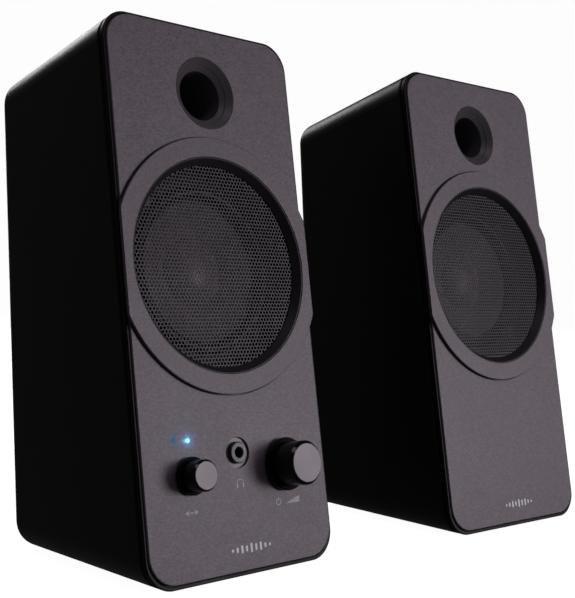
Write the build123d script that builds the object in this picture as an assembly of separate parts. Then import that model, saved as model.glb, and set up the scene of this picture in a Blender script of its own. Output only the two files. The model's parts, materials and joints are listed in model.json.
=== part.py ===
from build123d import *
import math
import os

os.makedirs("parts", exist_ok=True)

# A pair of free-standing desktop speakers, in millimetres, +Z up.
# Each cabinet is built in its own frame: x across, y to the back, z up from the floor, with y = 0 where
# the front plate's face meets the level of the cabinet's underside. The active cabinet holds the controls.

# --- cabinet, overall ---
WIDTH = 91.0             # cabinet width
FRONT_LENGTH = 210.0     # length of the front, measured along its lean
FRONT_LEAN = 9.9         # degrees the front leans back from vertical
BACK_LEAN = 5.4          # degrees the back leans back from vertical
FOOT_DEPTH = 91.3        # from the front to the back, at the underside
BACK_HEIGHT = 188.8      # length of the back, measured along its lean
CORNER = 11.2            # radius of the four long edges
WALL = 3.0
BACK_WALL = 4.0
BACK_EDGE = 5.0          # rounding of the edge round the back
CABINET_BEVEL = 0.5      # bevel round the mouth that the baffle closes
FOOT_RISE = 1.0          # the feet hold the underside this far off the floor
TOP_CLOSING = 5.2        # degrees the top falls away from square to the front, going back
TOP_TO_BACK = 9.7        # degrees the top falls away from square to the back, going back

# --- where the two cabinets stand ---
ACTIVE_AT = (-79.09, -47.23)
PASSIVE_AT = (74.41, -60.23)
PASSIVE_TURN = -2.63     # degrees about +Z

# --- front, as heights off the plate's face (minus is into the cabinet) ---
PLATE_T = 2.0
PLATE_SIDE = 1.13        # plate edge inside the cabinet's outline: sides, bottom, top
PLATE_BOTTOM = 1.7
PLATE_TOP = 1.0
PLATE_GAP = 0.35         # gap between the plate and the baffle's rim
RIM_ROUND = 0.35
RIM_FRONT = -0.8
RIM_BACK = -2.8
GROOVE_INSET = 1.0
CABINET_FRONT = -3.9
BAFFLE_BACK = -5.4

# --- woofer opening ---
WOOFER_V = 116.0
TRIM_R = 49.35
TRIM_HALF_WIDTH = 45.3
TRIM_RISE = 1.5
TRIM_GROOVE = 0.45       # width of the groove in the plate round the trim ring
TRIM_GROOVE_DEPTH = 0.9
RECESS_R = 41.7
GRILLE_SHOW_R = 38.9
GRILLE_R = 40.1
GRILLE_T = 0.4
GRILLE_FRONT = -1.95
PLATE_HOLE_R = 42.9
POCKET_R = 39.0
COLLAR_R = 41.6
LEDGE_FRONT = -13.0
LEDGE_BACK = -15.5
LEDGE_HOLE_R = 34.5
TRIM_PEG_R = 1.4
TRIM_PEG_PCR = 45.6
TRIM_PEG_ANGLES = (55, 125, 235, 305)

# --- bass port ---
PORT_V = 183.5
PORT_MOUTH_R = 14.1
PORT_R = 9.8
PORT_FLARE_DEPTH = 3.6
PORT_WALL = 1.8
PORT_LENGTH = 46.0

# --- 77 mm driver ---
FLANGE_R = 38.5
FLANGE_FRONT = -12.0
STEEL = 1.0
DRIVER_SCREW_PCR = 36.1
CONE_LIP = -13.0
CONE_EDGE_R = 28.4
CAP_DEPTH = 5.2          # from the cone's lip down to the dust cap's rim
COIL_R = 7.3
CAP_EDGE_R = 13.9
SPIDER_SEAT = -25.3
MAGNET_FRONT = -33.0
MAGNET_R = 22.5
MAGNET_T = 9.0
MOTOR_PLATE_T = 3.0
POLE_R = 6.4
GAP_R = 8.1

# --- controls on the active cabinet, (across, up) on the plate ---
VOLUME_AT = (22.6, 38.6)
MODE_AT = (-23.6, 38.6)
JACK_AT = (-0.4, 45.0)
STATUS_AT = (-23.4, 51.3)
INPUT_AT = (-29.9, 52.0)
VOLUME_KNOB = {"radius": 8.4, "skirt_r": 10.15, "skirt_t": 2.6, "height": 13.1, "face_r": 7.15, "socket_depth": 9.0}
MODE_KNOB = {"radius": 5.7, "skirt_r": 6.9, "skirt_t": 2.2, "height": 9.3, "face_r": 4.85, "socket_depth": 6.5}
SHAFT_R = 3.0
RUNNING_GAP = 0.05
BUSH_R = 3.9
BUSH_HOLE_R = 4.3
BOARD_FRONT = -15.0
BOARD_T = 1.6
JACK_BORE_R = 1.8
JACK_RECESS_R = 5.8

# --- back panels, (across as seen from behind, up) on the back ---
PANEL_T = 2.0
PANEL_SIZE = {"active": (62.0, 84.0), "passive": (40.0, 40.0)}
PANEL_UP = {"active": 56.0, "passive": 56.0}
PANEL_LIP = 3.5
PANEL_CORNER = 4.0
INLET_AT = (0.0, 26.0)
LINE_IN_AT = (15.0, 70.0)
SPEAKER_OUT_AT = (-15.0, 70.0)
SPEAKER_IN_AT = (0.0, 56.0)
PIN_X = 4.3              # mains pins, either side of the inlet's middle
SOCKET_R = 4.15
SOCKET_BORE_R = 1.6

# --- inside the active cabinet ---
AMP_BOARD = -22.0        # height of the amplifier board's rear face off the back
TRANSFORMER_AT = (0.0, 46.0)

# --- where the baffle screws stand on the front, and the feet on the underside ---
BAFFLE_SCREWS_AT = [(x, y) for x in (-39.0, 39.0) for y in (14.0, 64.0, 195.0)]
FEET_AT = [(x, y) for x in (-25.0, 25.0) for y in (18.0, 70.0)]

lean = math.radians(FRONT_LEAN)
back_lean = math.radians(BACK_LEAN)
front = Plane(origin=(0, 0, FOOT_RISE), x_dir=(1, 0, 0), z_dir=(0, -math.cos(lean), math.sin(lean)))
back = Plane(
    origin=(0, FOOT_DEPTH, FOOT_RISE), x_dir=(-1, 0, 0), z_dir=(0, math.cos(back_lean), -math.sin(back_lean))
)
place = {
    "active": Pos(*ACTIVE_AT, 0),
    "passive": Pos(*PASSIVE_AT, 0) * Rot(0, 0, PASSIVE_TURN),
}


def disc(radius, low, high, at=(0, 0)):
    """A cylinder standing along the local z from low to high."""
    return Pos(at[0], at[1], (low + high) / 2) * Cylinder(radius, high - low)


def tube(outer, inner, low, high, at=(0, 0)):
    return disc(outer, low, high, at) - disc(inner, low - 1, high + 1, at)


def block(x, y, low, high, at=(0, 0)):
    return Pos(at[0], at[1], (low + high) / 2) * Box(x, y, high - low)


def slab(x_size, y_low, y_high, radius, low, high):
    """A rounded rectangle, centred across, extruded from low to high."""
    outline = Pos(0, (y_low + y_high) / 2) * RectangleRounded(x_size, y_high - y_low, radius)
    return Pos(0, 0, low) * extrude(outline, high - low)


def turned(points, at=(0, 0)):
    """A closed (radius, height) outline turned about the local z."""
    outline = make_face(Polyline([(r, 0, h) for r, h in points], close=True))
    return Pos(at[0], at[1], 0) * revolve(outline, Axis.Z)


def on_front(shape, at=(0, 0), height=0):
    return front * (Pos(at[0], at[1], height) * shape)


def on_back(shape, at=(0, 0), height=0):
    return back * (Pos(at[0], at[1], height) * shape)


def outline_face(plane, x_size, low, high, radius):
    return plane * Pos(0, (low + high) / 2) * RectangleRounded(x_size, high - low, radius)


# The underside and the top close in towards the back, seen from the leaning front.
def front_low(w):
    return (RIM_FRONT - w) * math.tan(lean)


def front_high(w):
    return FRONT_LENGTH - (RIM_FRONT - w) * math.tan(math.radians(TOP_CLOSING))


def section(w, inset):
    """The body's outline in a plane parallel to the front, drawn in by inset all round."""
    return outline_face(
        front.offset(w), WIDTH - 2 * inset, front_low(w) + inset, front_high(w) - inset, CORNER - inset
    )


def envelope(w_front, inset, back_inset):
    """The tapering body between a plane at w_front on the front and one back_inset inside the back."""
    near = section(w_front, inset)
    mirrored = Plane(origin=back.origin, x_dir=(1, 0, 0), z_dir=-back.z_dir)
    low = -back_inset * math.tan(back_lean) + inset
    high = BACK_HEIGHT + back_inset * math.tan(math.radians(TOP_TO_BACK)) - inset
    far = outline_face(mirrored.offset(back_inset), WIDTH - 2 * inset, low, high, CORNER - inset)
    return loft([near, far], ruled=True)


def panel_screw_places(kind):
    half_x = PANEL_SIZE[kind][0] / 2 - 5.0
    half_y = PANEL_SIZE[kind][1] / 2 - 5.0
    return [(x, PANEL_UP[kind] + y) for x in (-half_x, half_x) for y in (-half_y, half_y)]


def cabinet(kind):
    mouth = CABINET_FRONT - CABINET_BEVEL
    outer = envelope(mouth, 0, 0)
    outer = fillet(outer.faces().sort_by(Axis.Y)[-1].outer_wire().edges(), BACK_EDGE)
    outer += loft([section(CABINET_FRONT, CABINET_BEVEL), section(mouth, 0)], ruled=True)
    shell = outer - envelope(CABINET_FRONT, WALL, BACK_WALL)
    posts = Part()
    for at in BAFFLE_SCREWS_AT:
        posts += front * disc(4.2, BAFFLE_BACK - 15, BAFFLE_BACK, at)
    for at in panel_screw_places(kind):
        posts += back * disc(3.2, -BACK_WALL - 6, -BACK_WALL, at)
    shell += posts & envelope(CABINET_FRONT, WALL / 2, BACK_WALL / 2)
    size = PANEL_SIZE[kind]
    low, high = PANEL_UP[kind] - size[1] / 2, PANEL_UP[kind] + size[1] / 2
    shell -= back * slab(size[0] + 0.4, low - 0.2, high + 0.2, PANEL_CORNER + 0.2, -PANEL_T, 1)
    window = slab(size[0] - 2 * PANEL_LIP, low + PANEL_LIP, high - PANEL_LIP, 1.5, -BACK_WALL - 1, 1)
    keep = Part()
    for at in panel_screw_places(kind):
        keep += disc(3.2, -BACK_WALL - 2, 0, at)
    shell -= back * (window - keep)
    for at in BAFFLE_SCREWS_AT:
        shell -= front * disc(1.25, BAFFLE_BACK - 13, 0, at)
    for at in panel_screw_places(kind):
        shell -= back * disc(1.25, -BACK_WALL - 5, 0, at)
    for at in FEET_AT:
        shell -= disc(5.0, 0, FOOT_RISE + 1.5, at)
    return shell


def baffle(kind):
    body = envelope(RIM_FRONT, 0, 0) - front * block(300, 600, -400, RIM_BACK)
    body = fillet(body.faces().sort_by(Axis.Y)[0].outer_wire().edges(), RIM_ROUND)
    body += front * slab(
        WIDTH - 2 * GROOVE_INSET,
        front_low(RIM_BACK) + GROOVE_INSET,
        front_high(RIM_BACK) - GROOVE_INSET,
        CORNER - GROOVE_INSET,
        CABINET_FRONT,
        RIM_BACK,
    )
    inset = WALL + 0.15
    body += front * slab(
        WIDTH - 2 * inset,
        front_low(BAFFLE_BACK) + inset,
        front_high(BAFFLE_BACK) - inset,
        CORNER - inset,
        BAFFLE_BACK,
        CABINET_FRONT,
    )
    body -= front * slab(
        WIDTH - 2 * PLATE_SIDE + 2 * PLATE_GAP,
        PLATE_BOTTOM - PLATE_GAP,
        FRONT_LENGTH - PLATE_TOP + PLATE_GAP,
        CORNER - 0.2,
        -PLATE_T,
        1,
    )
    woofer = (0, WOOFER_V)
    body += front * disc(COLLAR_R, LEDGE_BACK, BAFFLE_BACK, woofer)
    body -= front * disc(PLATE_HOLE_R + 0.3, GRILLE_FRONT - GRILLE_T, 1, woofer)
    body -= front * disc(POCKET_R, LEDGE_FRONT, 1, woofer)
    body -= front * disc(LEDGE_HOLE_R, LEDGE_BACK - 1, 1, woofer)
    for x, y in driver_screw_places():
        body += front * disc(2.6, LEDGE_BACK - 4, LEDGE_BACK, (x, y))
        body -= front * disc(1.0, LEDGE_BACK - 3.5, 1, (x, y))
    for at in peg_places():
        body -= front * disc(TRIM_PEG_R + 0.1, BAFFLE_BACK - 1, 1, at)
    body -= front * disc(PORT_R + PORT_WALL + 0.15, BAFFLE_BACK - 1, 1, (0, PORT_V))
    for at in BAFFLE_SCREWS_AT:
        body -= front * disc(1.6, BAFFLE_BACK - 1, 1, at)
        body -= front * disc(3.1, -PLATE_T - 1.5, 1, at)
    if kind == "active":
        for at in (VOLUME_AT, MODE_AT):
            body -= front * disc(BUSH_HOLE_R, BAFFLE_BACK - 1, 1, at)
        body -= front * disc(4.3, BAFFLE_BACK - 1, 1, JACK_AT)
        for at in (STATUS_AT, INPUT_AT):
            body -= front * disc(1.1, BAFFLE_BACK - 1, 1, at)
    return body


def driver_screw_places():
    return [
        (DRIVER_SCREW_PCR * math.cos(math.radians(a)), WOOFER_V + DRIVER_SCREW_PCR * math.sin(math.radians(a)))
        for a in (45, 135, 225, 315)
    ]


def peg_places():
    return [
        (TRIM_PEG_PCR * math.cos(math.radians(a)), WOOFER_V + TRIM_PEG_PCR * math.sin(math.radians(a)))
        for a in TRIM_PEG_ANGLES
    ]


def front_plate(kind):
    plate = slab(
        WIDTH - 2 * PLATE_SIDE, PLATE_BOTTOM, FRONT_LENGTH - PLATE_TOP, CORNER + 0.2, -PLATE_T, 0
    )
    plate = chamfer(plate.faces().sort_by(Axis.Z)[-1].outer_wire().edges(), 0.3)
    plate -= disc(PLATE_HOLE_R, -PLATE_T - 1, 1, (0, WOOFER_V))
    plate -= disc(PORT_MOUTH_R + 0.2, -PLATE_T - 1, 1, (0, PORT_V))
    plate -= tube(TRIM_R + TRIM_GROOVE, TRIM_R - 0.2, -TRIM_GROOVE_DEPTH, 1, (0, WOOFER_V))
    for at in peg_places():
        plate -= disc(TRIM_PEG_R + 0.1, -PLATE_T - 1, 1, at)
    if kind == "active":
        for at in (VOLUME_AT, MODE_AT):
            plate -= disc(BUSH_HOLE_R, -PLATE_T - 1, 1, at)
        plate -= disc(JACK_RECESS_R, -PLATE_T - 1, 1, JACK_AT)
        for at in (STATUS_AT, INPUT_AT):
            plate -= disc(0.85, -PLATE_T - 1, 1, at)
    return front * plate


def trim_ring(kind):
    undercut = 0.4
    ring = turned(
        [
            (RECESS_R, 0),
            (TRIM_R - undercut, 0),
            (TRIM_R - undercut, undercut),
            (TRIM_R, undercut),
            (TRIM_R, TRIM_RISE - 0.2),
            (TRIM_R - 0.2, TRIM_RISE),
            (RECESS_R + 0.15, TRIM_RISE),
            (RECESS_R, TRIM_RISE - 0.15),
        ]
    )
    ring &= block(2 * TRIM_HALF_WIDTH, 200, -1, 10)
    for x, y in peg_places():
        ring += disc(TRIM_PEG_R, BAFFLE_BACK + 0.4, 0, (x, y - WOOFER_V))
    return on_woofer(ring)


def grille_ring(kind):
    seat = GRILLE_FRONT
    ring = turned(
        [
            (GRILLE_SHOW_R, seat),
            (GRILLE_SHOW_R, seat + 0.35),
            (RECESS_R - 0.5, TRIM_RISE - 0.3),
            (RECESS_R - 0.1, TRIM_RISE - 0.3),
            (RECESS_R - 0.1, -0.05),
            (PLATE_HOLE_R - 0.1, -0.05),
            (PLATE_HOLE_R - 0.1, seat - GRILLE_T),
            (GRILLE_R + 0.1, seat - GRILLE_T),
            (GRILLE_R + 0.1, seat),
        ],
        (0, WOOFER_V),
    )
    return front * ring


def grille(kind):
    return front * disc(GRILLE_R, GRILLE_FRONT - GRILLE_T, GRILLE_FRONT, (0, WOOFER_V))


def port_tube(kind):
    outer = PORT_R + PORT_WALL
    end = -PORT_FLARE_DEPTH - PORT_LENGTH
    tube_part = turned(
        [
            (PORT_R, end),
            (outer, end),
            (outer, -PLATE_T),
            (PORT_MOUTH_R, -PLATE_T),
            (PORT_MOUTH_R, -0.1),
            (PORT_MOUTH_R - 0.1, 0.0),
            (PORT_R + 0.1, -PORT_FLARE_DEPTH),
            (PORT_R, -PORT_FLARE_DEPTH - 0.2),
        ],
        (0, PORT_V),
    )
    return front * tube_part


def on_woofer(shape):
    return on_front(shape, (0, WOOFER_V))


def driver_basket(kind):
    top = FLANGE_FRONT
    seat = SPIDER_SEAT
    floor = MAGNET_FRONT + MOTOR_PLATE_T
    cup = turned(
        [
            (32.6, top),
            (FLANGE_R, top),
            (FLANGE_R, top - STEEL),
            (33.9, top - STEEL),
            (23.4, seat - STEEL),
            (19.6, seat - STEEL),
            (19.6, floor),
            (GAP_R + 0.6, floor),
            (GAP_R + 0.6, floor + STEEL),
            (18.6, floor + STEEL),
            (18.6, seat),
            (22.8, seat),
            (32.6, top - STEEL),
        ]
    )
    for a in (0, 90, 180, 270):
        cup -= Rot(0, 0, a) * Pos(29, 0, top - 7) * Box(16, 22, 7)
    for x, y in driver_screw_places():
        cup -= disc(1.6, top - 5, top + 1, (x, y - WOOFER_V))
    return on_woofer(cup)


def top_plate(kind):
    return on_woofer(tube(20.0, GAP_R, MAGNET_FRONT, MAGNET_FRONT + MOTOR_PLATE_T))


def magnet(kind):
    return on_woofer(tube(MAGNET_R, 11.0, MAGNET_FRONT - MAGNET_T, MAGNET_FRONT))


def pole_piece(kind):
    base = MAGNET_FRONT - MAGNET_T
    pole = disc(20.0, base - MOTOR_PLATE_T, base) + disc(POLE_R, base, MAGNET_FRONT + MOTOR_PLATE_T)
    return on_woofer(pole)


def voice_coil(kind):
    winding = CONE_LIP - 15.6
    coil = turned(
        [
            (COIL_R - 0.3, winding - 6.2),
            (COIL_R + 0.4, winding - 6.2),
            (COIL_R + 0.4, winding),
            (COIL_R, winding),
            (COIL_R, winding + 6.3),
            (COIL_R - 0.3, winding + 6.3),
        ]
    )
    return on_woofer(coil)


def cone(kind):
    t = 0.7
    lip = CONE_LIP
    edge = CONE_EDGE_R
    profile = [(edge, lip), (edge - 1.6, lip - 0.2), (21.0, lip - 2.6), (CAP_EDGE_R, lip - CAP_DEPTH)]
    profile += [(COIL_R, lip - 10.6)]
    under = [(r, h - t) for r, h in reversed(profile)]
    return on_woofer(turned(profile + under))


def dome_height(edge_r, rise, r):
    """How far a spherical dome of that rim radius and rise stands above its rim at radius r."""
    ball = (edge_r**2 + rise**2) / (2 * rise)
    return rise - ball + math.sqrt(ball**2 - r**2)


def dust_cap(kind):
    """A thin dome that meets the cone's face along its rim."""
    t = 0.5
    low = CONE_LIP - CAP_DEPTH
    rise = 4.4
    inner_r = CAP_EDGE_R - 0.7
    outer_mid = low + dome_height(CAP_EDGE_R, rise, CAP_EDGE_R / 2)
    inner_mid = low + dome_height(inner_r, rise - t, inner_r / 2)
    with BuildSketch(Plane.XZ) as half:
        with BuildLine():
            ThreePointArc((0, low + rise), (CAP_EDGE_R / 2, outer_mid), (CAP_EDGE_R, low))
            Line((CAP_EDGE_R, low), (inner_r, low))
            ThreePointArc((inner_r, low), (inner_r / 2, inner_mid), (0, low + rise - t))
            Line((0, low + rise - t), (0, low + rise))
        make_face()
    return on_woofer(revolve(half.sketch, Axis.Z))


def surround(kind):
    t = 0.5
    low = CONE_LIP
    lip = FLANGE_FRONT
    foot = CONE_EDGE_R - 1.5
    crest = (foot + 1.8 + 32.8) / 2
    with BuildSketch(Plane.XZ) as half:
        with BuildLine():
            Polyline((foot, low), (foot + 1.5, low), (foot + 1.8, low))
            ThreePointArc((foot + 1.8, low), (crest, lip + 2.0), (32.8, lip))
            Polyline((32.8, lip), (33.6, lip), (33.6, lip + t), (33.2, lip + t))
            ThreePointArc((33.2, lip + t), (crest, lip + 2.0 + t), (foot + 1.4, low + t))
            Polyline((foot + 1.4, low + t), (foot, low + t), (foot, low))
        make_face()
    return on_woofer(revolve(half.sketch, Axis.Z))


def spider(kind):
    t = 0.4
    seat = SPIDER_SEAT
    wave = [(COIL_R, 0.0), (9.0, 0.0), (10.5, 0.8), (12.0, -0.4), (13.5, 0.8), (15.0, -0.4), (16.5, 0.8), (18.0, 0.0)]
    top_line = [(r, seat + t + h) for r, h in wave] + [(21.5, seat + t)]
    low_line = [(21.5, seat)] + [(r, seat + h) for r, h in reversed(wave)]
    return on_woofer(turned(top_line + low_line))


def rear_panel(kind):
    size = PANEL_SIZE[kind]
    low, high = PANEL_UP[kind] - size[1] / 2, PANEL_UP[kind] + size[1] / 2
    panel = slab(size[0], low, high, PANEL_CORNER, -PANEL_T, 0)
    for at in panel_screw_places(kind):
        panel -= disc(1.6, -PANEL_T - 1, 1, at)
    if kind == "active":
        panel -= block(20.4, 12.8, -PANEL_T - 1, 1, INLET_AT)
        panel -= disc(3.1, -PANEL_T - 1, 1, LINE_IN_AT)
        panel -= disc(4.9, -PANEL_T - 1, 1, SPEAKER_OUT_AT)
    else:
        panel -= disc(4.9, -PANEL_T - 1, 1, SPEAKER_IN_AT)
    return back * panel


def screw(head_r, head_t, shank_r, length):
    """A pan-head screw with a cross recess, head seated at height 0."""
    body = disc(head_r, 0, head_t) + disc(shank_r, -length, 0)
    body -= block(head_r * 1.1, 0.6, head_t - 0.7, head_t + 1)
    body -= block(0.6, head_r * 1.1, head_t - 0.7, head_t + 1)
    return body


def knob(radius, skirt_r, skirt_t, height, face_r, socket_depth):
    bevel = radius - face_r - 0.15
    return turned(
        [
            (SHAFT_R, 0.5),
            (skirt_r, 0.5),
            (skirt_r, skirt_t - 0.4),
            (skirt_r - 0.4, skirt_t),
            (radius, skirt_t),
            (radius, height - bevel),
            (face_r + 0.15, height),
            (face_r, height),
            (face_r, height - 0.9),
            (0, height - 0.9),
            (0, socket_depth),
            (SHAFT_R, socket_depth),
        ]
    )


def knob_face(data):
    return disc(data["face_r"], data["height"] - 0.9, data["height"] + 0.05)


def shaft(data):
    return disc(SHAFT_R, BOARD_FRONT + 2.5, data["socket_depth"])


def pot(body_size):
    """A rotary control: a square body behind the baffle and a bush through it."""
    body = block(body_size, body_size, BOARD_FRONT, BAFFLE_BACK) + disc(BUSH_R, BAFFLE_BACK, -0.4)
    return body - disc(SHAFT_R + RUNNING_GAP, BOARD_FRONT + 2.4, 1)


def headphone_jack():
    body = block(12, 11, BOARD_FRONT, BAFFLE_BACK) + disc(4.05, BAFFLE_BACK, 0.95)
    body -= disc(JACK_BORE_R, -13.6, 2)
    nose = body.edges().filter_by(lambda e: abs(e.center().Z - 0.95) < 1e-6)
    return chamfer(nose, 0.35)


def headphone_washer():
    return tube(JACK_RECESS_R - 0.1, 4.1, -PLATE_T, -0.9)


def indicator_led():
    return disc(0.8, BOARD_FRONT, 0.05) + disc(1.4, BOARD_FRONT, -9)


def control_board():
    low, high = 26.0, 58.0
    return slab(72, low, high, 2, BOARD_FRONT - BOARD_T, BOARD_FRONT)


def line_jack():
    body = block(12, 11, -PANEL_T - 12, -PANEL_T) + disc(3.0, -PANEL_T, 1.5)
    return body - disc(JACK_BORE_R, -12.5, 3)


def phono_socket():
    """A phono socket: a flanged metal shell with its centre contact in an insulator."""
    shell = disc(SOCKET_R, -PANEL_T, 8.0) + disc(6.2, 0, 1.0) + disc(4.8, -PANEL_T - 5, 0)
    return shell - disc(SOCKET_BORE_R, -3, 9)


def mains_inlet():
    body = block(20, 12.4, -15, 0.5) + slab(27, -7.5, 7.5, 2.5, 0, 1.6)
    body -= slab(16.6, -4.6, 4.6, 4.5, -11.5, 3)
    for x in (-PIN_X, PIN_X):
        body -= disc(1.2, -16, 0, (x, 0))
    return body


def inlet_pins():
    return Compound([disc(1.2, -17, -1.5, (x, 0)) for x in (-PIN_X, PIN_X)])


def amplifier_board():
    return block(58, 62, AMP_BOARD - BOARD_T, AMP_BOARD, (0, 66))


def heat_sink():
    sink = block(34, 3, AMP_BOARD, AMP_BOARD + 14, (0, 86))
    for x in range(-15, 16, 6):
        sink += block(1.4, 9, AMP_BOARD, AMP_BOARD + 14, (x, 90.5))
    return sink


def filter_capacitors():
    return Compound([disc(5.0, AMP_BOARD - BOARD_T - 13, AMP_BOARD - BOARD_T, (x, 78)) for x in (-16, -4, 8)])


def transformer_core():
    """A laminated E-I core, standing on the cabinet's floor, with its centre limb along x."""
    x, y = TRANSFORMER_AT
    floor = FOOT_RISE + WALL
    core = Pos(x, y, floor + 17) * Box(41, 14, 34)
    for side in (-1, 1):
        core -= Pos(x + side * 10.25, y, floor + 17) * Box(7.5, 20, 20)
    return core


def transformer_coil():
    x, y = TRANSFORMER_AT
    middle = FOOT_RISE + WALL + 17
    coil = Pos(x, y, middle) * Box(26.6, 27, 19.4)
    return coil - Pos(x, y, middle) * Box(13.0, 14, 30)


def spread(shapes):
    """Several like solids as one group."""
    return Compound([s for shape in shapes for s in shape.solids()])


def write(name, shape):
    shape.label = name
    export_step(shape, f"parts/{name}.step")


BOTH = {
    "cabinet": cabinet,
    "baffle": baffle,
    "front_plate": front_plate,
    "trim_ring": trim_ring,
    "grille_ring": grille_ring,
    "grille": grille,
    "port_tube": port_tube,
    "driver_basket": driver_basket,
    "top_plate": top_plate,
    "magnet": magnet,
    "pole_piece": pole_piece,
    "spider": spider,
    "surround": surround,
    "cone": cone,
    "dust_cap": dust_cap,
    "voice_coil": voice_coil,
    "rear_panel": rear_panel,
}
for kind in ("active", "passive"):
    for piece, make in BOTH.items():
        write(f"{kind}_{piece}", place[kind] * make(kind))

FASTENERS = {
    "driver_screws": [
        place[kind] * on_front(screw(2.3, 1.5, 1.0, 6.5), at, FLANGE_FRONT)
        for kind in place
        for at in driver_screw_places()
    ],
    "baffle_screws": [
        place[kind] * on_front(screw(2.9, 1.4, 1.25, 14.0), at, -PLATE_T - 1.5)
        for kind in place
        for at in BAFFLE_SCREWS_AT
    ],
    "rear_panel_screws": [
        place[kind] * on_back(screw(2.7, 1.5, 1.25, 8.5), at)
        for kind in place
        for at in panel_screw_places(kind)
    ],
    "feet": [
        place[kind] * disc(4.95, 0, FOOT_RISE + 1.5, at) for kind in place for at in FEET_AT
    ],
}
for name, shapes in FASTENERS.items():
    write(name, spread(shapes))

ACTIVE_ONLY = {
    "volume_knob": on_front(knob(**VOLUME_KNOB), VOLUME_AT),
    "volume_knob_face": on_front(knob_face(VOLUME_KNOB), VOLUME_AT),
    "volume_shaft": on_front(shaft(VOLUME_KNOB), VOLUME_AT),
    "volume_control": on_front(pot(17.0), VOLUME_AT),
    "mode_knob": on_front(knob(**MODE_KNOB), MODE_AT),
    "mode_knob_face": on_front(knob_face(MODE_KNOB), MODE_AT),
    "mode_shaft": on_front(shaft(MODE_KNOB), MODE_AT),
    "mode_switch": on_front(pot(13.0), MODE_AT),
    "headphone_jack": on_front(headphone_jack(), JACK_AT),
    "headphone_washer": on_front(headphone_washer(), JACK_AT),
    "control_board": on_front(control_board()),
    "amplifier_board": on_back(amplifier_board()),
    "heat_sink": on_back(heat_sink()),
    "filter_capacitors": on_back(filter_capacitors()),
    "transformer_core": transformer_core(),
    "transformer_coil": transformer_coil(),
    "mains_inlet": on_back(mains_inlet(), INLET_AT),
    "inlet_pins": on_back(inlet_pins(), INLET_AT),
    "line_in_jack": on_back(line_jack(), LINE_IN_AT),
}
for name, shape in ACTIVE_ONLY.items():
    write(name, place["active"] * shape)

write("indicator_leds", spread([place["active"] * on_front(indicator_led(), at) for at in (STATUS_AT, INPUT_AT)]))
sockets = [
    place["active"] * on_back(phono_socket(), SPEAKER_OUT_AT),
    place["passive"] * on_back(phono_socket(), SPEAKER_IN_AT),
]
write("speaker_sockets", spread(sockets))
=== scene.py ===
import json
import math

import bpy
from mathutils import Matrix, Vector
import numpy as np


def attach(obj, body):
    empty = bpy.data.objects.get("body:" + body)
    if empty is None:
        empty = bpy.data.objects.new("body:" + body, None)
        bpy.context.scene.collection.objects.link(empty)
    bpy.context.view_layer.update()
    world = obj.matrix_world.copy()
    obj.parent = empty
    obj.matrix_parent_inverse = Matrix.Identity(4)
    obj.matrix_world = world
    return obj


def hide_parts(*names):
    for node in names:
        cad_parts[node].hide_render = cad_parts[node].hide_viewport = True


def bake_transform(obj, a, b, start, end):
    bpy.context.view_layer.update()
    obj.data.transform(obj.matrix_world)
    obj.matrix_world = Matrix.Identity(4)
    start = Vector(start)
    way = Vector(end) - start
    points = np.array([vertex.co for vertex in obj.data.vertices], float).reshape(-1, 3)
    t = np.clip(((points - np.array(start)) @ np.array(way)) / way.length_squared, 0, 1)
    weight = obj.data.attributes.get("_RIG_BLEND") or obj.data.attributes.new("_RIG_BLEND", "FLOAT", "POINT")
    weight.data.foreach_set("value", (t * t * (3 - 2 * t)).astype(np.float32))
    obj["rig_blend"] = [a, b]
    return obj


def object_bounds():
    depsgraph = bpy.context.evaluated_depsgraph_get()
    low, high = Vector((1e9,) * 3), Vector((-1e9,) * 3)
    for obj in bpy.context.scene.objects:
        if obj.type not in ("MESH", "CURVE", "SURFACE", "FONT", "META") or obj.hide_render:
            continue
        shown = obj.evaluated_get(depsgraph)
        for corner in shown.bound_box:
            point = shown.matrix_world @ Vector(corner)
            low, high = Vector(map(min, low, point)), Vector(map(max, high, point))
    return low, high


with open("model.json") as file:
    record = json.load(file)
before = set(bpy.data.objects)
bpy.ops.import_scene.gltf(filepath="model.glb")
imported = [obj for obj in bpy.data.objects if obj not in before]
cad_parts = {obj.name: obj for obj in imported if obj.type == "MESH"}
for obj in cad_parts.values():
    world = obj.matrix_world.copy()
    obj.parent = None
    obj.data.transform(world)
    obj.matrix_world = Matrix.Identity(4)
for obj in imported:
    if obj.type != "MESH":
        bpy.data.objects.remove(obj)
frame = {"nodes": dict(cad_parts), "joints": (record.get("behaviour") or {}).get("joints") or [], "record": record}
cad_low, cad_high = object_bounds()
nodes = frame["nodes"]
joints = {j["name"]: j for j in frame["joints"]}
mounts = {m["name"]: m for m in frame["record"]["mounts"]}
KINDS = ("active", "passive")
MM = 0.001
UPWARD = Vector((0, 0, 1))

# ---------------------------------------------------------------- camera
CAMERA_AT = Vector((-0.34776, -0.34372, 0.10719))
CAMERA_FORWARD = Vector((0.69372, 0.72014, -0.01217))
CAMERA_UP = Vector((-0.00771, 0.02433, 0.99967))
CAMERA_LENS = 65.545
SENSOR = 36.0
SHIFT = (-0.0022, 0.0033)
NEAREST, FARTHEST = 0.01, 20.0


def look(at, forward, up):
    """A transform whose -Z looks along forward, with +Y near up."""
    back = -forward.normalized()
    right = up.cross(back).normalized()
    upright = back.cross(right)
    turn = Matrix((right, upright, back)).transposed().to_4x4()
    return Matrix.Translation(at) @ turn


def add_camera():
    data = bpy.data.cameras.new("camera")
    data.lens = CAMERA_LENS
    data.sensor_width = SENSOR
    data.shift_x, data.shift_y = SHIFT
    data.clip_start, data.clip_end = NEAREST, FARTHEST
    camera = bpy.data.objects.new("camera", data)
    camera.matrix_world = look(CAMERA_AT, CAMERA_FORWARD, CAMERA_UP)
    bpy.context.scene.collection.objects.link(camera)
    bpy.context.scene.camera = camera


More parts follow.
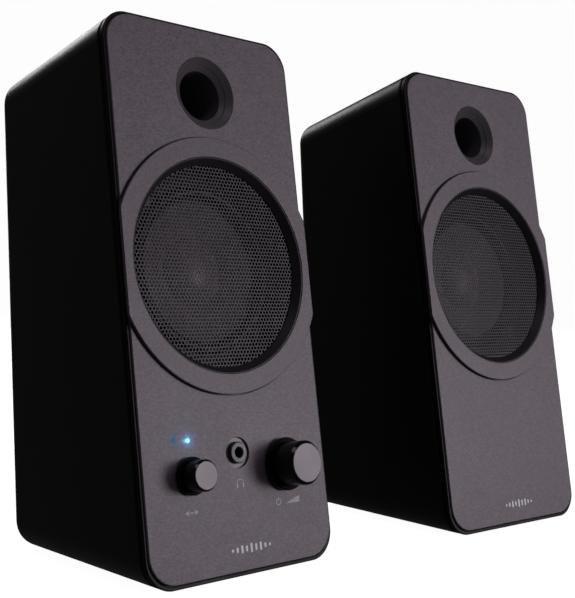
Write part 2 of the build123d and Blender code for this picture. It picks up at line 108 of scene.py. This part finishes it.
# ---------------------------------------------------------------- materials
DRIFT_SIZE = 0.045      # slow colour drift
GLOSS_SIZE = 0.02       # patches of uneven gloss
WEAR_AND_SHEEN_SIZE = 0.004       # breaks in the wear and painted sheen along an edge
SPECK_LIFT = 1.9        # how much lighter a speck is than its ground
WEAR_AND_SHEEN_LIFT = 2.6         # how much lighter a convex edge is: partly wear, partly painted sheen
COAT_ROUGHNESS = 0.12


class Graph:
    """A material's node tree, with short calls for the nodes used here."""

    def __init__(self, name):
        self.material = bpy.data.materials.new(name)
        self.material.use_nodes = True
        self.tree = self.material.node_tree
        self.tree.nodes.clear()
        self.output = self.tree.nodes.new("ShaderNodeOutputMaterial")
        self.shader = self.tree.nodes.new("ShaderNodeBsdfPrincipled")
        self.link(self.shader.outputs[0], self.output.inputs["Surface"])
        self.coordinates = self.tree.nodes.new("ShaderNodeTexCoord").outputs["Object"]

    def link(self, source, target):
        self.tree.links.new(source, target)

    def set(self, target, value):
        if isinstance(value, bpy.types.NodeSocket):
            self.link(value, target)
        else:
            target.default_value = value

    def noise(self, size, detail, roughness, stretch=(1, 1, 1)):
        """Noise whose features are about size metres, from 0 to 1 around 0.5."""
        mapping = self.tree.nodes.new("ShaderNodeMapping")
        self.link(self.coordinates, mapping.inputs["Vector"])
        mapping.inputs["Scale"].default_value = [1 / (size * s) for s in stretch]
        node = self.tree.nodes.new("ShaderNodeTexNoise")
        node.inputs["Scale"].default_value = 1.0
        node.inputs["Detail"].default_value = detail
        node.inputs["Roughness"].default_value = roughness
        self.link(mapping.outputs[0], node.inputs["Vector"])
        return node.outputs["Fac"]

    def remap(self, value, low, high, to_low, to_high):
        node = self.tree.nodes.new("ShaderNodeMapRange")
        self.set(node.inputs["Value"], value)
        ends = {"From Min": low, "From Max": high, "To Min": to_low, "To Max": to_high}
        for key, number in ends.items():
            node.inputs[key].default_value = number
        return node.outputs[0]

    def multiply(self, a, b):
        node = self.tree.nodes.new("ShaderNodeMath")
        node.operation = "MULTIPLY"
        self.set(node.inputs[0], a)
        self.set(node.inputs[1], b)
        return node.outputs[0]

    def mix(self, factor, a, b):
        node = self.tree.nodes.new("ShaderNodeMix")
        node.data_type = "RGBA"
        self.set(node.inputs[0], factor)
        for socket, colour in ((node.inputs[6], a), (node.inputs[7], b)):
            self.set(socket, colour)
        return node.outputs[2]

    def edge(self, radius):
        """A normal that rounds the edges by radius."""
        node = self.tree.nodes.new("ShaderNodeBevel")
        node.samples = 4
        node.inputs["Radius"].default_value = radius
        return node.outputs[0]

    def bump(self, height, distance, normal=None):
        node = self.tree.nodes.new("ShaderNodeBump")
        node.inputs["Strength"].default_value = 1.0
        node.inputs["Distance"].default_value = distance
        self.link(height, node.inputs["Height"])
        if normal is not None:
            self.link(normal, node.inputs["Normal"])
        return node.outputs[0]

    def edge_wear_and_sheen(self, amount):
        """Rises to amount on convex edges, broken up by noise: partly edge wear, partly painted sheen."""
        point = self.tree.nodes.new("ShaderNodeNewGeometry").outputs["Pointiness"]
        rim = self.remap(point, 0.52, 0.58, 0.0, 1.0)
        patches = self.remap(self.noise(WEAR_AND_SHEEN_SIZE, 3.0, 0.6), 0.45, 0.65, 0.0, amount)
        return self.multiply(rim, patches)


def rgb(*values):
    return (*values, 1.0)


def lighter(colour, k):
    return rgb(*[min(1.0, c * k) for c in colour[:3]])


def finish(
    name, colour, rough, grain=0.0004, relief=0.00002, mottle=0.12, speckle=0.1, metallic=0.0,
    specular=0.5, coat=0.0, edge=None, wear_and_sheen=0.0, stretch=(1, 1, 1), smear=0.05,
):
    """A named surface with slow colour drift, speckle, grain relief, uneven gloss and lighter convex edges, partly
    wear and partly painted sheen.
    """
    g = Graph(name)
    colour = rgb(*colour)
    drift = g.remap(g.noise(DRIFT_SIZE, 3.0, 0.55), 0.35, 0.65, 0.0, 1.0)
    base = g.mix(drift, lighter(colour, 1 - mottle), lighter(colour, 1 + mottle))
    fine = g.noise(grain, 3.0, 0.65, stretch)
    dots = g.remap(fine, 0.4, 0.62, 0.0, 1.0)
    base = g.mix(dots, base, g.mix(speckle, base, lighter(colour, SPECK_LIFT)))
    # lighter convex edges: partly wear, partly painted sheen
    if wear_and_sheen:
        base = g.mix(g.edge_wear_and_sheen(wear_and_sheen), base, lighter(colour, WEAR_AND_SHEEN_LIFT))
    shader = g.shader.inputs
    g.link(base, shader["Base Color"])
    gloss = g.noise(GLOSS_SIZE, 4.0, 0.6)
    smooth, dull = max(0.02, rough - smear), min(1.0, rough + smear)
    g.link(g.remap(gloss, 0.3, 0.7, smooth, dull), shader["Roughness"])
    shader["Metallic"].default_value = metallic
    shader["Specular IOR Level"].default_value = specular
    shader["Coat Weight"].default_value = coat
    shader["Coat Roughness"].default_value = COAT_ROUGHNESS
    normal = g.edge(edge) if edge else None
    g.link(g.bump(fine, relief, normal), shader["Normal"])
    return name, g.material


def glowing(name, colour, strength):
    """A named lit surface whose brightness is slightly cloudy."""
    g = Graph(name)
    cloud = g.remap(g.noise(0.0006, 2.0, 0.5), 0.3, 0.7, 0.85, 1.1)
    shader = g.shader.inputs
    shader["Base Color"].default_value = rgb(*colour)
    shader["Roughness"].default_value = 0.5
    shader["Specular IOR Level"].default_value = 0.1
    shader["Emission Color"].default_value = rgb(*colour)
    g.link(g.multiply(cloud, strength), shader["Emission Strength"])
    return name, g.material


def casing_paints():
    """The cabinets, their fronts and their backs."""
    charcoal = dict(
        colour=(0.080, 0.061, 0.079), rough=0.46, grain=0.0007, relief=0.00006, mottle=0.015,
        speckle=0.95, edge=0.0002, wear_and_sheen=0.2, smear=0.01,
    )
    return [
        finish(
            "cabinet_black", (0.0035, 0.0033, 0.0042), 0.36, grain=0.0006, relief=0.000006,
            specular=0.32, edge=0.0004, wear_and_sheen=0.25,
        ),
        finish(
            "baffle_black", (0.006, 0.0054, 0.0066), 0.4, grain=0.0005, relief=0.000008,
            specular=0.12, edge=0.00025, wear_and_sheen=0.3,
        ),
        # near-black finish for the grille rings' recess walls: painted shade
        finish(
            "recess_painted_shade", (0.02, 0.017, 0.02), 0.44, specular=0.25, grain=0.0005,
            relief=0.000006, edge=0.00015,
        ),
        finish("plate_charcoal", stretch=(2.0, 1, 1), **charcoal),
        finish("ring_charcoal", **charcoal),
        finish(
            "grille_metal", (0.046, 0.0375, 0.046), 0.44, grain=0.0002, relief=0.000008,
            mottle=0.06, specular=0.3,
        ),
        finish(
            "port_charcoal", (0.078, 0.068, 0.079), 0.42, grain=0.0003, relief=0.000016, edge=0.0002
        ),
        finish(
            "panel_black", (0.014, 0.014, 0.016), 0.5, grain=0.0007, relief=0.00004, edge=0.0003,
            wear_and_sheen=0.3,
        ),
        finish(
            "screw_black", (0.03, 0.03, 0.032), 0.35, metallic=0.8, grain=0.0003, relief=0.00001,
            edge=0.00015, wear_and_sheen=0.7,
        ),
        finish("foot_rubber", (0.012, 0.012, 0.012), 0.8, grain=0.0006, relief=0.00004),
    ]


def driver_paints():
    return [
        finish(
            "basket_steel", (0.008, 0.008, 0.009), 0.5, relief=0.00001, specular=0.1, edge=0.0002
        ),
        finish("motor_steel", (0.42, 0.42, 0.43), 0.35, metallic=1.0, relief=0.000006),
        finish("ferrite", (0.035, 0.035, 0.037), 0.7, grain=0.0008, relief=0.00005),
        finish("spider_cloth", (0.42, 0.24, 0.07), 0.7, grain=0.0007, relief=0.0001),
        finish(
            "surround_rubber", (0.003, 0.0028, 0.0033), 0.24, grain=0.0004, relief=0.000006,
            mottle=0.15, specular=0.12,
        ),
        finish(
            "cone_paper", (0.13, 0.111, 0.128), 0.36, grain=0.0009, relief=0.00002, mottle=0.1,
            specular=0.3,
        ),
        finish(
            "cap_grey", (0.17, 0.145, 0.168), 0.36, grain=0.0003, relief=0.00001, specular=0.3
        ),
        finish("copper", (0.5, 0.2, 0.08), 0.3, metallic=1.0, grain=0.0003, stretch=(1, 1, 6)),
    ]


def control_paints():
    """Knobs, jacks, lights and prints."""
    return [
        finish(
            "knob_black", (0.0022, 0.0021, 0.0026), 0.16, grain=0.0006, relief=0.000002,
            specular=0.4, edge=0.0003,
        ),
        # knob skirt: matte black with reflection nearly removed, partly painted shadow round the knob
        finish("skirt_painted_shade", (0.002, 0.0019, 0.0022), 0.6, relief=0.000004, specular=0.06),
        finish(
            "knob_face_grey", (0.235, 0.20, 0.235), 0.42, grain=0.0004, relief=0.00001,
            mottle=0.03, speckle=0.2,
        ),
        finish("shaft_metal", (0.6, 0.6, 0.61), 0.3, metallic=1.0, relief=0.000004),
        finish("control_body", (0.03, 0.03, 0.034), 0.5, edge=0.0002),
        finish(
            "jack_black", (0.02, 0.019, 0.021), 0.3, relief=0.000004, specular=0.3, edge=0.0002,
            wear_and_sheen=0.2,
        ),
        finish("washer_grey", (0.22, 0.19, 0.22), 0.42, relief=0.000006, edge=0.0001),
        glowing("led_lens", (0.17, 0.50, 1.0), 1.4),
        glowing("icon_blue", (0.03, 0.13, 0.26), 0.45),
        finish(
            "print_grey", (0.95, 0.94, 0.96), 0.5, grain=0.0002, relief=0.000002, mottle=0.2
        ),
        finish(
            "print_faint", (0.50, 0.48, 0.50), 0.5, grain=0.0002, relief=0.000002, mottle=0.2
        ),
    ]


def electric_paints():
    return [
        finish("board_green", (0.01, 0.09, 0.035), 0.35, grain=0.001, coat=0.4),
        finish("sink_aluminium", (0.6, 0.6, 0.61), 0.4, metallic=1.0, stretch=(1, 1, 8)),
        finish("capacitor_sleeve", (0.01, 0.014, 0.06), 0.3, relief=0.000006),
        finish(
            "core_iron", (0.12, 0.12, 0.125), 0.5, metallic=0.7, grain=0.0004, stretch=(8, 8, 1)
        ),
        finish(
            "pin_nickel", (0.62, 0.6, 0.55), 0.25, metallic=1.0, relief=0.000004, edge=0.0001
        ),
    ]


def materials():
    return dict(casing_paints() + driver_paints() + control_paints() + electric_paints())


# ---------------------------------------------------------------- places on the two fronts
class Front:
    """A cabinet's front: local (across, up, out), origin at the bottom middle of the plate's face."""

    def __init__(self, kind):
        self.kind = kind
        self.out = Vector(joints[f"{kind}_cone_slide"]["axis"]).normalized()
        self.across = UPWARD.cross(self.out).normalized()
        self.up = self.out.cross(self.across)
        points = [v.co for v in nodes[f"{kind}_front_plate"].data.vertices]
        face = max(p.dot(self.out) for p in points)
        bottom = min(p.dot(self.up) for p in points)
        sides = [p.dot(self.across) for p in points]
        middle = (min(sides) + max(sides)) / 2
        origin = self.across * middle + self.up * bottom + self.out * face
        axes = Matrix((self.across, self.up, self.out)).transposed().to_4x4()
        self.matrix = Matrix.Translation(origin) @ axes
        self.inverse = self.matrix.inverted()

    def local(self, point):
        return self.inverse @ Vector(point)

    def extent(self, node):
        """Lowest and highest local corner of a CAD node."""
        points = [self.inverse @ v.co for v in nodes[node].data.vertices]
        low = Vector([min(p[i] for p in points) for i in range(3)])
        high = Vector([max(p[i] for p in points) for i in range(3)])
        return low, high


def piece(name, points, faces, material, body, matrix):
    """A new piece from points in a local frame."""
    mesh = bpy.data.meshes.new(name)
    mesh.from_pydata([matrix @ Vector(p) for p in points], [], faces)
    mesh.validate()
    mesh.update()
    obj = bpy.data.objects.new(name, mesh)
    bpy.context.scene.collection.objects.link(obj)
    mesh.materials.append(material)
    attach(obj, body)
    return obj


# ---------------------------------------------------------------- perforated grille
HOLE_PITCH = 1.6 * MM
HOLE_R = 0.64 * MM
SHEET = 0.22 * MM
HOLE_SIDES = 12
RIM_PLAIN = 0.9 * MM        # rim without holes
RIM_REACH = 0.2             # how far past the rim a cell's middle may lie, in pitches
POINT_GRID = 1e8            # points closer than 1 / POINT_GRID metres are one


def perforated(front, material):
    """The flat steel grille with its staggered round holes, each one open through the sheet.

    The sheet is a honeycomb of cells. A cell is a ring of quads round its hole, or one flat face
    where it lies on the rim.
    """
    node = f"{front.kind}_grille"
    low, high = front.extent(node)
    low.z = high.z - SHEET
    centre_u, centre_v = (low.x + high.x) / 2, (low.y + high.y) / 2
    radius = (high.x - low.x) / 2
    points, index, faces = [], {}, []

    def point(u, v, w):
        r = math.hypot(u, v)
        if r > radius:
            u, v = u * radius / r, v * radius / r
        key = (round(u * POINT_GRID), round(v * POINT_GRID), w > (low.z + high.z) / 2)
        if key not in index:
            index[key] = len(points)
            points.append((centre_u + u, centre_v + v, w))
        return index[key]

    def face(corners, flip):
        faces.append(corners[::-1] if flip else corners)

    row_step = HOLE_PITCH * math.sqrt(3) / 2
    rows = int(radius / row_step) + 2
    angles = [2 * math.pi * k / HOLE_SIDES for k in range(HOLE_SIDES)]
    flat, corner = HOLE_PITCH / 2, HOLE_PITCH / math.sqrt(3)
    cell_edge = [(flat if k % 2 == 0 else corner, a) for k, a in enumerate(angles)]
    steps = [(k, (k + 1) % HOLE_SIDES) for k in range(HOLE_SIDES)]
    for j in range(-rows, rows + 1):
        for i in range(-rows, rows + 1):
            u, v = (i + (j % 2) / 2) * HOLE_PITCH, j * row_step
            r = math.hypot(u, v)
            if r > radius + HOLE_PITCH * RIM_REACH:
                continue
            holes = []
            for w, flip in ((high.z, False), (low.z, True)):
                outer = [point(u + e * math.cos(a), v + e * math.sin(a), w) for e, a in cell_edge]
                if r > radius - RIM_PLAIN:
                    cell = list(dict.fromkeys(outer))
                    if len(cell) > 2:
                        face(cell, flip)
                    continue
                inner = [point(u + HOLE_R * math.cos(a), v + HOLE_R * math.sin(a), w) for a in angles]
                for k, n in steps:
                    face([inner[k], outer[k], outer[n], inner[n]], flip)
                holes.append(inner)
            if holes:
                above, below = holes
                for k, n in steps:
                    faces.append([above[k], above[n], below[n], below[k]])
    name = f"{front.kind}_grille_sheet"
    obj = piece(name, points, faces, material, "speakers", front.matrix)
    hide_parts(node)


# ---------------------------------------------------------------- flexing parts of the drivers
SURROUND_FLEX = (0.80, 0.955)       # where the bending starts and ends, as shares of the radius
SPIDER_FLEX = (0.40, 0.95)


def flexing(front, part, material, shares):
    """A driver's flexible ring that follows the cone inside and the basket outside."""
    node = f"{front.kind}_{part}"
    mesh = nodes[node].data.copy()
    mesh.materials.clear()
    mesh.materials.append(material)
    obj = bpy.data.objects.new(f"{node}_flexing", mesh)
    bpy.context.scene.collection.objects.link(obj)
    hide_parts(node)
    low, high = front.extent(node)
    centre = Vector(((low.x + high.x) / 2, (low.y + high.y) / 2))
    start = front.matrix @ Vector((*centre, high.z))
    end = front.matrix @ Vector((*centre, low.z))
    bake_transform(obj, "speakers", f"{front.kind}_cone", start=start, end=end)
    radius = (high.x - low.x) / 2
    inner_share, outer_share = shares
    weights = []
    for v in mesh.vertices:
        p = front.inverse @ v.co
        share = math.hypot(p.x - centre.x, p.y - centre.y) / radius
        t = min(1.0, max(0.0, (outer_share - share) / (outer_share - inner_share)))
        weights.append(t * t * (3 - 2 * t))
    mesh.attributes["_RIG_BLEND"].data.foreach_set("value", weights)


# ---------------------------------------------------------------- prints on the plates
PRINT_RISE = 0.03 * MM
BAR_STEPS = 8
ARC_STEPS = 24


def bar(u, v, width, height):
    """A rounded upright bar centred on (u, v)."""
    r = width / 2
    reach = height / 2 - r
    half_turn = [math.pi * k / BAR_STEPS for k in range(BAR_STEPS + 1)]
    top = [(u + r * math.cos(a), v + reach + r * math.sin(a)) for a in half_turn]
    low = [(u - r * math.cos(a), v - reach - r * math.sin(a)) for a in half_turn]
    return top + low


def arc_band(u, v, radius, width, start, end):
    """A band along an arc, angles in degrees, counter-clockwise."""
    angles = [math.radians(start + (end - start) * k / ARC_STEPS) for k in range(ARC_STEPS + 1)]
    far, near = radius + width / 2, radius - width / 2
    outer = [(u + far * math.cos(a), v + far * math.sin(a)) for a in angles]
    inner = [(u + near * math.cos(a), v + near * math.sin(a)) for a in angles]
    return outer + inner[::-1]


# Shapes in millimetres, (across, up).
WAVE_HEIGHTS = (1.2, 2.0, 3.0, 2.2, 3.6, 2.6, 3.2, 1.8, 1.2)
WAVE_STEP = 2.3
WAVE_START = -WAVE_STEP * (len(WAVE_HEIGHTS) - 1) / 2
WAVE_MARK = [bar(WAVE_START + WAVE_STEP * k, 0, 1.0, h) for k, h in enumerate(WAVE_HEIGHTS)]
HEADPHONES = [
    arc_band(0, 0.1, 1.6, 0.25, 0, 180),
    bar(-1.5, -0.7, 0.6, 1.6),
    bar(1.5, -0.7, 0.6, 1.6),
]
POWER_AND_WEDGE = [
    arc_band(-5.0, 0, 1.2, 0.4, 120, 420),
    bar(-5.0, 1.0, 0.4, 1.5),
    [(-1.8, -1.2), (6.0, -1.2), (6.0, 1.3)],
]
TWO_ARROWS = [
    [(-3.0, 0.0), (-1.4, -1.0), (-1.4, 1.0)],
    [(3.0, 0.0), (1.4, 1.0), (1.4, -1.0)],
    [(-0.9, -0.2), (0.9, -0.2), (0.9, 0.2), (-0.9, 0.2)],
]
RADIO_WAVES = [arc_band(0, -0.3, r, 0.3, a, a + 80) for r in (1.6, 2.6) for a in (50, 230)]

# Where each print lies: the mark from the front's origin, the others from their jack or knob.
WAVE_MARK_AT = (2.3 * MM, 8.0 * MM)
UNDER_JACK = (0.0, -11.5 * MM)
UNDER_VOLUME = (0.4 * MM, -13.9 * MM)
UNDER_MODE = (-0.6 * MM, -12.9 * MM)


def print_shapes(name, front, at, loops, material):
    """Thin printed shapes round at, lying on the plate's face."""
    points, faces = [], []
    for loop in loops:
        first = len(points)
        count = len(loop)
        for w in (0.0, PRINT_RISE):
            points += [(at[0] + u * MM, at[1] + v * MM, w) for u, v in loop]
        faces.append([first + count + k for k in range(count)])
        for k in range(count):
            n = (k + 1) % count
            faces.append([first + k, first + n, first + count + n, first + count + k])
    piece(name, points, faces, material, "speakers", front.matrix)


def add_label(name, front, place, shift, loops, material):
    """A print at a shift from a jack or knob."""
    at = front.local(place)
    print_shapes(name, front, (at.x + shift[0], at.y + shift[1]), loops, material)


# ---------------------------------------------------------------- stage
FLOOR_HALF = 3.0
FLOOR_DROP = 0.0002         # keeps the floor clear of the feet
FLOOR_GLOW = 0.97
BACKDROP_R = 2.9
BACKDROP_RINGS, BACKDROP_SIDES = 24, 48
BACKDROP_GLOW = 0.975


def stage_piece(name, points, faces, material):
    """A part of the setting that throws no light of its own on the object."""
    mesh = bpy.data.meshes.new(name)
    mesh.from_pydata(points, [], faces)
    mesh.materials.append(material)
    obj = bpy.data.objects.new(name, mesh)
    bpy.context.scene.collection.objects.link(obj)
    obj.visible_glossy = False
    obj.visible_diffuse = False
    return obj


def add_floor():
    g = Graph("floor_white")
    drift = g.remap(g.noise(0.4, 2.0, 0.5), 0.3, 0.7, 0.0, 1.0)
    shader = g.shader.inputs
    g.link(g.mix(drift, rgb(0.86, 0.86, 0.86), rgb(0.9, 0.9, 0.9)), shader["Base Color"])
    shader["Roughness"].default_value = 0.8
    shader["Emission Color"].default_value = rgb(1, 1, 1)
    shader["Emission Strength"].default_value = FLOOR_GLOW
    s = FLOOR_HALF
    corners = [(-s, -s, 0), (s, -s, 0), (s, s, 0), (-s, s, 0)]
    floor = stage_piece("floor", corners, [(0, 1, 2, 3)], g.material)
    floor.location.z = cad_low.z - FLOOR_DROP


def add_backdrop():
    """A pale dome round everything, open at its poles."""
    g = Graph("backdrop_white")
    shader = g.shader.inputs
    shader["Base Color"].default_value = rgb(0, 0, 0)
    shader["Emission Color"].default_value = rgb(1, 1, 1)
    shader["Emission Strength"].default_value = BACKDROP_GLOW
    points = []
    for i in range(1, BACKDROP_RINGS):
        tilt = math.pi * i / BACKDROP_RINGS
        ring_r, z = BACKDROP_R * math.sin(tilt), BACKDROP_R * math.cos(tilt)
        for k in range(BACKDROP_SIDES):
            turn = 2 * math.pi * k / BACKDROP_SIDES
            points.append((ring_r * math.cos(turn), ring_r * math.sin(turn), z))
    faces = []
    for i in range(BACKDROP_RINGS - 2):
        this, below = i * BACKDROP_SIDES, (i + 1) * BACKDROP_SIDES
        for k in range(BACKDROP_SIDES):
            n = (k + 1) % BACKDROP_SIDES
            faces.append((this + k, this + n, below + n, below + k))
    dome = stage_piece("backdrop", points, faces, g.material)
    dome.visible_shadow = False
    dome.visible_transmission = False


# ---------------------------------------------------------------- light
STUDIO_MIDDLE = Vector((0, 0, 0.1))
LIGHT_DISTANCE = 2.2
WARM_VIOLET = (1.0, 0.95, 1.0)
WHITE = (1.0, 1.0, 1.0)
WORLD_GLOW = 0.05
# Azimuth (0 is +X) and elevation in degrees as seen from the middle, size in metres, energy in watts.
SOFTBOXES = {
    "key": (-54, 4, (0.9, 0.6), 15.2, WARM_VIOLET),
    "upper": (-54, 22, (1.1, 0.6), 4.7, WARM_VIOLET),
    "top": (-112, 62, (1.3, 0.6), 3.4, WARM_VIOLET),
    "back": (85, 32, (0.9, 0.6), 7.0, WHITE),
}
STATUS_BLUE = (0.12, 0.5, 1.0)
STATUS_WATTS = 0.0006
STATUS_R = 0.4 * MM
STATUS_OUT = 1.2 * MM


def around(azimuth, elevation):
    """A point at the lights' distance, in that direction from the middle of the pair."""
    a, e = math.radians(azimuth), math.radians(elevation)
    direction = Vector((math.cos(e) * math.cos(a), math.cos(e) * math.sin(a), math.sin(e)))
    return STUDIO_MIDDLE + LIGHT_DISTANCE * direction


def add_lights():
    for name, (azimuth, elevation, size, energy, colour) in SOFTBOXES.items():
        data = bpy.data.lights.new(name, "AREA")
        data.shape = "RECTANGLE"
        data.size, data.size_y = size
        data.energy = energy
        data.color = colour
        light = bpy.data.objects.new(name, data)
        at = around(azimuth, elevation)
        light.matrix_world = look(at, STUDIO_MIDDLE - at, UPWARD)
        bpy.context.scene.collection.objects.link(light)
    world = bpy.data.worlds.new("studio")
    world.use_nodes = True
    background = world.node_tree.nodes["Background"].inputs
    background["Color"].default_value = rgb(*WARM_VIOLET)
    background["Strength"].default_value = WORLD_GLOW
    bpy.context.scene.world = world


def add_status_glow(front, at):
    """The blue light that the lit indicator throws on the plate round it."""
    data = bpy.data.lights.new("status_glow", "POINT")
    data.energy = STATUS_WATTS
    data.color = STATUS_BLUE
    data.shadow_soft_size = STATUS_R
    light = bpy.data.objects.new("status_glow", data)
    light.location = front.matrix @ Vector((at.x, at.y, STATUS_OUT))
    bpy.context.scene.collection.objects.link(light)


# ---------------------------------------------------------------- the model
FACES_OUT = 0.7             # a face whose normal is at least this much along the front's counts as flat


def assign(paints):
    """Gives every CAD node the finish that its record slot names; the grille rings get a near-black finish,
    painted shade for their recess walls.
    """
    slots = {s["node"]: s["material_slot"] for s in frame["record"]["subparts"]}
    for node, obj in nodes.items():
        # grille rings: painted shade on the recess walls
        paint = "recess_painted_shade" if node.endswith("_grille_ring") else slots[node]
        obj.data.materials.clear()
        obj.data.materials.append(paints[paint])


def paint_skirt_shade(front, node, matte):
    """Gives the flat face of a knob's skirt a matte black with almost no reflection: partly the skirt's own
    finish, partly painted shadow round the knob.
    """
    mesh = nodes[node].data
    mesh.materials.append(matte)
    top = max(front.local(v.co).z for v in mesh.vertices)
    for polygon in mesh.polygons:
        is_flat = polygon.normal.dot(front.out) > FACES_OUT
        is_low = front.local(polygon.center).z < top / 2
        polygon.material_index = 1 if is_flat and is_low else 0


def light_indicators(front, dim):
    """Lights the right-hand lens, dims the left-hand one and draws radio waves round it."""
    mesh = nodes["indicator_leds"].data
    mesh.materials.append(dim)
    sides = [front.local(p.center).x for p in mesh.polygons]
    middle = (min(sides) + max(sides)) / 2
    for polygon, side in zip(mesh.polygons, sides):
        polygon.material_index = 0 if side > middle else 1
    lit = [v.co for v in mesh.vertices if front.local(v.co).x > middle]
    unlit = [v.co for v in mesh.vertices if front.local(v.co).x <= middle]
    add_status_glow(front, front.local(sum(lit, Vector()) / len(lit)))
    centre = sum(unlit, Vector()) / len(unlit)
    add_label("wireless_icon", front, centre, (0.0, 0.0), RADIO_WAVES, dim)


def build():
    paints = materials()
    assign(paints)
    fronts = {kind: Front(kind) for kind in KINDS}
    for kind, front in fronts.items():
        perforated(front, paints["grille_metal"])
        flexing(front, "surround", paints["surround_rubber"], SURROUND_FLEX)
        flexing(front, "spider", paints["spider_cloth"], SPIDER_FLEX)
        print_shapes(f"{kind}_wave_mark", front, WAVE_MARK_AT, WAVE_MARK, paints["print_grey"])

    front = fronts["active"]
    jack = mounts["headphone_out"]["pos_m"]
    volume = joints["volume_turn"]["pos_m"]
    mode = joints["mode_turn"]["pos_m"]
    faint = paints["print_faint"]
    add_label("headphone_icon", front, jack, UNDER_JACK, HEADPHONES, faint)
    add_label("volume_icon", front, volume, UNDER_VOLUME, POWER_AND_WEDGE, faint)
    add_label("mode_icon", front, mode, UNDER_MODE, TWO_ARROWS, faint)
    for knob in ("volume_knob", "mode_knob"):
        paint_skirt_shade(front, knob, paints["skirt_painted_shade"])
    light_indicators(front, paints["icon_blue"])


bpy.context.scene.view_settings.view_transform = "Standard"
add_camera()
build()
add_floor()
add_backdrop()
add_lights()
